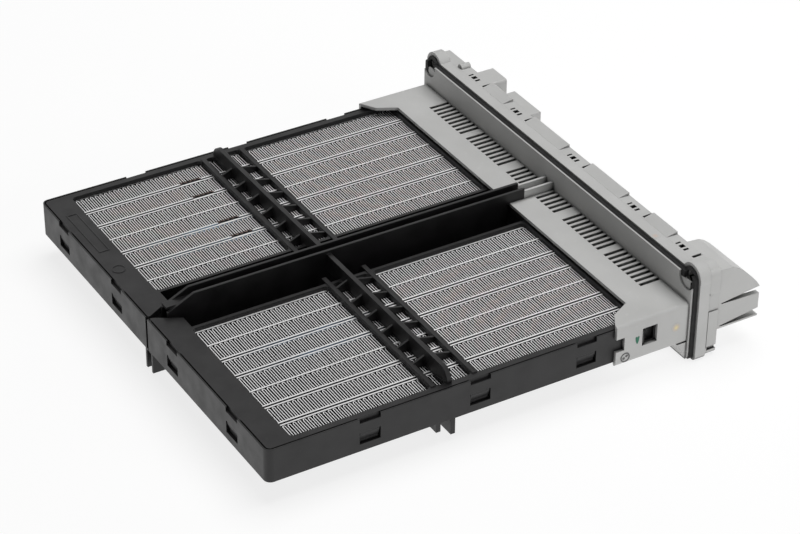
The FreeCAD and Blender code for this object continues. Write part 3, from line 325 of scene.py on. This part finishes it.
def paint_dot(name, core, ring, radius):
    """Inspection paint whose colour runs from a bright middle over a faint rim into the plastic's own."""
    made, tree, shader = new_material(name, core, 0.5)
    length = tree.nodes.new("ShaderNodeVectorMath")
    length.operation = "LENGTH"
    tree.links.new(place(tree), length.inputs[0])
    away = spread_to(tree, length.outputs["Value"], 0.0, 1.0, 0.1 * radius, 0.6 * radius)
    rim = spread_to(tree, length.outputs["Value"], 0.0, 1.0, 0.6 * radius, 0.95 * radius)
    color = mixed(tree, rim, mixed(tree, away, core, ring), GREY_SHADE)
    tree.links.new(color, shader.inputs["Base Color"])
    bumped(tree, shader, (noise(tree, 3200, 2), 0.018 * MM, 0.6))
    return made


def paint(thing, made):
    """Gives every material slot of an object one material."""
    if not thing.material_slots:
        thing.data.materials.append(made)
    for entry in thing.material_slots:
        entry.material = made


BLACK_PLASTIC = moulded_plastic(
    "black_plastic",
    (0.0035, 0.0034, 0.0036),
    (0.006, 0.0055, 0.006),
    wear_and_highlight=(0.02, 0.02, 0.02),
    rough=(0.36, 0.52),
    grain_depth=0.012 * MM,
)
# Grey housing, with painted shade in its slots, windows and gaps
GREY_PLASTIC = moulded_plastic(
    "grey_plastic",
    (0.56, 0.56, 0.55),
    (0.62, 0.62, 0.61),
    wear_and_highlight=(0.68, 0.68, 0.67),
    rough=(0.5, 0.64),
    grain_depth=0.018 * MM,
    shade_reach=3.0 * MM,
)
FIN_METAL = strip_edge("fin_aluminium", (0.97, 0.97, 0.97), (0.9, 0.9, 0.91), 0.45)
# Upright sides of the fin strips: painted near black as the shade deep in the fin gaps
FIN_LEG_SHADE = rolled_metal("fin_leg_painted_shade", (0.004, 0.004, 0.004), (0.008, 0.007, 0.007), (0.6, 0.8), (1, 1, 12), 0.0)
FIN_SOILED = strip_edge("fin_soiled", (0.34, 0.25, 0.22), (0.12, 0.08, 0.07), 0.6)
PLATE_METAL = strip_edge("plate_aluminium", (0.98, 0.98, 0.98), (0.94, 0.94, 0.94), 0.35)
HIGHLIGHTED_METAL = strip_edge("highlighted_aluminium", (0.98, 0.98, 0.98), (0.94, 0.94, 0.94), 0.35, True)
CARRIER = carrier_plastic()
CERAMIC = moulded_plastic(
    "ceramic", (0.1, 0.09, 0.085), (0.14, 0.13, 0.12), (0.2, 0.19, 0.18), (0.6, 0.8), 0.02 * MM
)
SPRING_STEEL = rolled_metal("spring_steel", (0.55, 0.55, 0.56), (0.45, 0.45, 0.46), (0.3, 0.45), (1, 1, 6))
RUBBER = soft_rubber("seal_rubber", (0.012, 0.012, 0.012), (0.022, 0.022, 0.022))
BOARD = moulded_plastic(
    "board", (0.02, 0.12, 0.05), (0.03, 0.15, 0.07), (0.1, 0.2, 0.1), (0.3, 0.45), 0.01 * MM
)
COMPONENT = moulded_plastic(
    "component_plastic", (0.02, 0.02, 0.02), (0.03, 0.03, 0.03), (0.06, 0.06, 0.06), (0.5, 0.7), 0.01 * MM
)
GREEN_PAINT = moulded_plastic(
    "green_paint", (0.02, 0.14, 0.08), (0.03, 0.2, 0.12), (0.1, 0.3, 0.2), (0.4, 0.6), 0.01 * MM
)
DARK_MARK = moulded_plastic(
    "dark_mark", (0.09, 0.09, 0.09), (0.16, 0.16, 0.16), (0.3, 0.3, 0.3), (0.5, 0.7), 0.01 * MM
)
YELLOW_PAINT = paint_dot("yellow_paint", (0.85, 0.74, 0.4), (0.64, 0.57, 0.5), YELLOW_RADIUS * MM)
ORANGE_PAINT = paint_dot("orange_paint", (0.66, 0.54, 0.47), (0.6, 0.57, 0.54), ORANGE_RADIUS * MM)
TERMINAL = rolled_metal("terminal_metal", (0.78, 0.74, 0.64), (0.7, 0.66, 0.58), (0.2, 0.35), (0.05, 1, 1))

SLOT_LOOKS = {
    "frame_plastic": BLACK_PLASTIC,
    "housing_plastic": GREY_PLASTIC,
    "fin_aluminium": FIN_METAL,
    "plate_aluminium": PLATE_METAL,
    "carrier_plastic": CARRIER,
    "ceramic": CERAMIC,
    "spring_steel": SPRING_STEEL,
    "seal_rubber": RUBBER,
    "board": BOARD,
    "component_plastic": COMPONENT,
    "terminal_metal": TERMINAL,
}


def dress_nodes():
    """Gives each part of the frame the finish of its own slot."""
    for part in frame["record"]["subparts"]:
        node = part["node"]
        look = SLOT_LOOKS[part["material_slot"]]
        # Contact sheets of two rods in each zone carry the painted pale bluish highlight
        if node.startswith("contact_sheet") and any(rod in node for rod in HIGHLIGHTED_RODS):
            look = HIGHLIGHTED_METAL
        paint(NODES[node], look)


# Meshes

def new_piece(name, vertices, faces, made, smooth=False):
    """A mesh object that belongs to the heater."""
    mesh = bpy.data.meshes.new(name)
    mesh.from_pydata([tuple(v) for v in vertices], [], faces)
    mesh.validate()
    mesh.update()
    for polygon in mesh.polygons:
        polygon.use_smooth = smooth
    piece = bpy.data.objects.new(name, mesh)
    bpy.context.scene.collection.objects.link(piece)
    paint(piece, made)
    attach(piece, "root")
    return piece


# Corrugated fins

FIN_PITCH = 1.085 * MM
FIN_GAUGE = 0.39 * MM
FIN_CREST = 0.42 * MM
FIN_CREST_SHARE = 0.93
FIN_TURN_STEPS = 3
FIN_SHAKE = 0.06 * MM


def fin_line(low, high):
    """Middle line of one corrugated strip: straight legs joined by round crests."""
    points = []
    legs = (low.y + STAIN_REACH, high.y - STAIN_REACH)
    bends = int((high.x - low.x) / FIN_PITCH)
    start = (low.x + high.x - (bends - 1) * FIN_PITCH) / 2
    near = low.y + FIN_GAUGE / 2
    far = high.y - FIN_GAUGE / 2
    for bend in range(bends):
        middle = start + bend * FIN_PITCH
        edge = far if bend % 2 else near
        inward = -1 if bend % 2 else 1
        shake = random.uniform(-1, 1) * FIN_SHAKE
        for step in range(2 * FIN_TURN_STEPS + 1):
            angle = math.pi * step / (2 * FIN_TURN_STEPS)
            across = -math.cos(angle) * FIN_PITCH / 2 * FIN_CREST_SHARE
            depth = FIN_CREST * (1 - math.sin(angle))
            points.append((middle + across + shake, edge + inward * depth))
        for height in legs[:: inward]:
            points.append((points[-1][0], height))
    return points


def fin_row(node):
    """One fin row as a thin bent strip with slightly uneven upper and lower edges."""
    low, high = (Vector(corner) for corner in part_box(node))
    line = fin_line(low, high)
    vertices = []
    for index, (x, y) in enumerate(line):
        before = line[max(index - 1, 0)]
        after = line[min(index + 1, len(line) - 1)]
        along = Vector((after[0] - before[0], after[1] - before[1])).normalized()
        side = Vector((-along.y, along.x)) * FIN_GAUGE / 2
        lift = random.uniform(-1, 1) * FIN_SHAKE
        for z in (low.z + lift * 0.5, high.z + lift):
            for sign in (-1, 1):
                across = min(max(y + sign * side.y, low.y), high.y)
                vertices.append((x + sign * side.x, across, z))
    faces = []
    looks = []
    last = len(line) - 1
    for index in range(last):
        a, b, c, d = (4 * index + k for k in range(4))
        e, f, g, h = (4 * index + 4 + k for k in range(4))
        faces += [(a, e, g, c), (b, d, h, f), (c, g, h, d), (a, b, f, e)]
        (x, y), (next_x, next_y) = line[index : index + 2]
        edge = 2 if soiled(node, (x + next_x) / 2, (y + next_y) / 2, low) else 0
        # Upright sides take the painted-shade legs; the top edge is the pale cut edge or the stain
        looks += [1, 1, edge, 0]
    a, b, c, d = range(4)
    faces.append((a, c, d, b))
    a, b, c, d = (4 * last + k for k in range(4))
    faces.append((a, b, d, c))
    looks += [1, 1]
    piece = new_piece(f"{node}_strip", vertices, faces, FIN_METAL)
    piece.data.materials.append(FIN_LEG_SHADE)
    piece.data.materials.append(FIN_SOILED)
    for polygon, look in zip(piece.data.polygons, looks):
        polygon.material_index = look
    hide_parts(node)
    return piece


def soiled(node, x, y, low):
    """Whether a place on a strip lies by one of the cut-outs where the crests are stained."""
    if node not in STAINED_ROWS:
        return False
    return STAIN_SPAN[0] < x < STAIN_SPAN[1] and y < low.y + STAIN_REACH


def fin_rows():
    """All fourteen rows."""
    for node in sorted(name for name in NODES if name.startswith("fin_row")):
        fin_row(node)


# Small marks, in millimetres from the free end, the middle and the underside

FRAME_TOP = 15.0
HOUSING_SIDE = -101.5
LABEL_X = (4.25, 9.1)
LABEL_Y = (52.0, 84.0)
LABEL_LINE = 0.5
MARK_RISE = 0.16
DATE_RING_AT = (6.0, 37.2, FRAME_TOP)
DATE_RING = (2.9, 2.45)
PAINT_SIDE = HOUSING_SIDE - 0.02
TICK_AT = (165.4, PAINT_SIDE, 8.0)
YELLOW_AT = (184.2, PAINT_SIDE, 7.5)
ORANGE_AT = (194.3, -70.4, 30.31)
MOULD_RING_AT = (159.9, HOUSING_SIDE, 1.6)
MOULD_RING = (2.2, 1.7)
MOULD_RING_RISE = 0.12
MOULD_DOTS_AT = {"mould_dot_a": (159.2, PAINT_SIDE, 1.3), "mould_dot_b": (160.6, PAINT_SIDE, 2.1)}
MOULD_DOT_RADIUS = 0.6


def at(x, y, z):
    """A place given in millimetres from the free end, the middle and the underside."""
    return Vector((x, y, z)) * MM - ORIGIN


def decal(name, middle, right, up, corners, made, slot, gauge=0.04):
    """A thin flat patch whose corners are given in millimetres along two directions."""
    outward = right.cross(up)
    vertices = []
    for lift in (0.0, gauge):
        for across, along in corners:
            vertices.append(right * across * MM + up * along * MM + outward * lift * MM)
    count = len(corners)
    faces = [tuple(range(count))[::-1], tuple(range(count, 2 * count))]
    for index in range(count):
        after = (index + 1) % count
        faces.append((index, after, count + after, count + index))
    piece = new_piece(name, vertices, faces, made)
    piece.location = middle
    return piece


def disc(radius, steps=28):
    """Corners of a round patch."""
    return [
        (radius * math.cos(2 * math.pi * step / steps), radius * math.sin(2 * math.pi * step / steps))
        for step in range(steps)
    ]


def ring(name, middle, right, up, outer, inner, rise, made, slot, steps=36):
    """A low raised ring that stands on a surface."""
    outward = right.cross(up)
    vertices = []
    for radius, lift in ((outer, 0.0), (outer, rise), (inner, rise), (inner, 0.0)):
        for across, along in disc(radius, steps):
            vertices.append((right * across + up * along + outward * lift) * MM)
    faces = []
    for band in range(4):
        below = ((band + 1) % 4) * steps
        for step in range(steps):
            after = (step + 1) % steps
            faces.append((band * steps + step, band * steps + after, below + after, below + step))
    piece = new_piece(name, vertices, faces, made)
    piece.location = middle
    return piece


ALONG_X = Vector((1, 0, 0))
ALONG_Y = Vector((0, 1, 0))
ALONG_Z = Vector((0, 0, 1))
TICK_SHAPE = (
    (-0.95, 1.5),
    (-0.5, 1.75),
    (0.0, 1.4),
    (0.5, 1.8),
    (0.95, 1.5),
    (0.75, -0.3),
    (0.25, -1.7),
    (-0.3, -1.6),
    (-0.8, -0.2),
)


def frame_line(name, x, y, top, width, rise, made, slot):
    """A thin raised line round a plain rectangular field."""
    vertices = []
    for shrink in (0.0, width):
        for lift in (0.0, rise):
            for across, along in ((x[0], y[0]), (x[1], y[0]), (x[1], y[1]), (x[0], y[1])):
                inward_x = shrink if across == x[0] else -shrink
                inward_y = shrink if along == y[0] else -shrink
                vertices.append(at(across + inward_x, along + inward_y, top + lift))
    faces = []
    for corner in range(4):
        after = (corner + 1) % 4
        faces.append((corner, after, 4 + after, 4 + corner))
        faces.append((4 + corner, 4 + after, 12 + after, 12 + corner))
        faces.append((8 + after, 8 + corner, 12 + corner, 12 + after))
        faces.append((after, corner, 8 + corner, 8 + after))
    return new_piece(name, vertices, faces, made)


def marks():
    """Inspection paint on the housing, and the plain mould rings and bare field beside it."""
    label = (LABEL_X, LABEL_Y, FRAME_TOP, LABEL_LINE, MARK_RISE)
    frame_line("label_field", *label, BLACK_PLASTIC, "frame_plastic")
    side = (ALONG_X, ALONG_Z)
    top = (ALONG_X, ALONG_Y)
    date_ring = (*DATE_RING, MARK_RISE)
    ring("date_ring", at(*DATE_RING_AT), *top, *date_ring, BLACK_PLASTIC, "frame_plastic")
    decal("green_tick", at(*TICK_AT), *side, TICK_SHAPE[::-1], GREEN_PAINT, "housing_plastic")
    decal("yellow_dot", at(*YELLOW_AT), *side, disc(YELLOW_RADIUS), YELLOW_PAINT, "housing_plastic")
    decal("orange_dot", at(*ORANGE_AT), *top, disc(ORANGE_RADIUS), ORANGE_PAINT, "housing_plastic")
    mould_ring = (*MOULD_RING, MOULD_RING_RISE)
    ring("mould_ring_outer", at(*MOULD_RING_AT), *side, *mould_ring, DARK_MARK, "housing_plastic")
    for name, place_at in MOULD_DOTS_AT.items():
        decal(name, at(*place_at), *side, disc(MOULD_DOT_RADIUS), DARK_MARK, "housing_plastic")


# Setting

FLOOR_HALF = 4.0
FLOOR_GAP = 0.02 * MM
FLOOR_COLOR = (0.26, 0.26, 0.26, 1)
FLOOR_LIGHT = 0.6
FLOOR_SEEN = 0.8
WORLD_LIGHT = 0.07
WORLD_SEEN = 0.75
TOP_LAMP = {"spot": Vector((0.25, 0.1, 1.2)), "side": 1.1, "power": 12.5}
FRONT_LAMP = {"spot": Vector((0.45, -1.35, 0.35)), "side": 0.9, "power": 6.2}


def studio():
    """Pale floor, soft lamps and a plain pale world."""
    low = CAD_BOX[0]
    floor_z = low[2] - FLOOR_GAP
    mesh = bpy.data.meshes.new("floor")
    corners = [(x * FLOOR_HALF, y * FLOOR_HALF, floor_z) for x, y in ((-1, -1), (1, -1), (1, 1), (-1, 1))]
    mesh.from_pydata(corners, [], [(0, 1, 2, 3)])
    floor = bpy.data.objects.new("floor", mesh)
    bpy.context.scene.collection.objects.link(floor)
    floor.data.materials.append(floor_material())
    world()
    area_lamp("top_lamp", **TOP_LAMP)
    area_lamp("front_lamp", **FRONT_LAMP)


def seen_directly(tree):
    """One for camera, glossy and transmission rays."""
    path = tree.nodes.new("ShaderNodeLightPath")
    total = path.outputs["Is Camera Ray"]
    for name in ("Is Glossy Ray", "Is Transmission Ray"):
        add = tree.nodes.new("ShaderNodeMath")
        add.operation = "MAXIMUM"
        tree.links.new(total, add.inputs[0])
        tree.links.new(path.outputs[name], add.inputs[1])
        total = add.outputs["Value"]
    return total


def floor_material():
    """Pale floor that shows near white and keeps a faint shadow."""
    made = bpy.data.materials.new("floor")
    made.use_nodes = True
    tree = made.node_tree
    tree.nodes.clear()
    output = tree.nodes.new("ShaderNodeOutputMaterial")
    diffuse = tree.nodes.new("ShaderNodeBsdfDiffuse")
    diffuse.inputs["Color"].default_value = FLOOR_COLOR
    glow = tree.nodes.new("ShaderNodeEmission")
    strength = spread_to(tree, seen_directly(tree), FLOOR_LIGHT, FLOOR_SEEN, 0.0, 1.0)
    tree.links.new(strength, glow.inputs["Strength"])
    add = tree.nodes.new("ShaderNodeAddShader")
    tree.links.new(diffuse.outputs["BSDF"], add.inputs[0])
    tree.links.new(glow.outputs["Emission"], add.inputs[1])
    tree.links.new(add.outputs["Shader"], output.inputs["Surface"])
    return made


def world():
    """White where it is seen or mirrored, dim where it only lights the heater."""
    made = bpy.data.worlds.new("studio")
    bpy.context.scene.world = made
    made.use_nodes = True
    tree = made.node_tree
    background = tree.nodes["Background"]
    background.inputs["Color"].default_value = (1, 1, 1, 1)
    strength = spread_to(tree, seen_directly(tree), WORLD_LIGHT, WORLD_SEEN, 0.0, 1.0)
    tree.links.new(strength, background.inputs["Strength"])


def area_lamp(name, spot, side, power):
    """A square soft lamp that faces the heater."""
    data = bpy.data.lights.new(name, "AREA")
    data.size = side
    data.energy = power
    lamp = bpy.data.objects.new(name, data)
    lamp.location = spot
    lamp.rotation_euler = (-spot).to_track_quat("-Z", "Y").to_euler()
    lamp.visible_glossy = False
    bpy.context.scene.collection.objects.link(lamp)


def camera():
    """The photograph's own viewpoint."""
    data = bpy.data.cameras.new("camera")
    data.sensor_width = SENSOR_MM
    data.lens = FOCAL_PIXELS * SENSOR_MM / IMAGE_WIDTH
    data.clip_start = CLIP_START
    data.clip_end = CLIP_END
    turn = Matrix((CAMERA_RIGHT, CAMERA_UP, CAMERA_BACK)).transposed().to_4x4()
    thing = bpy.data.objects.new("camera", data)
    thing.matrix_world = Matrix.Translation(CAMERA_AT) @ turn
    bpy.context.scene.collection.objects.link(thing)
    bpy.context.scene.camera = thing


dress_nodes()
fin_rows()
marks()
studio()
camera()
bpy.context.scene.view_settings.view_transform = "Standard"
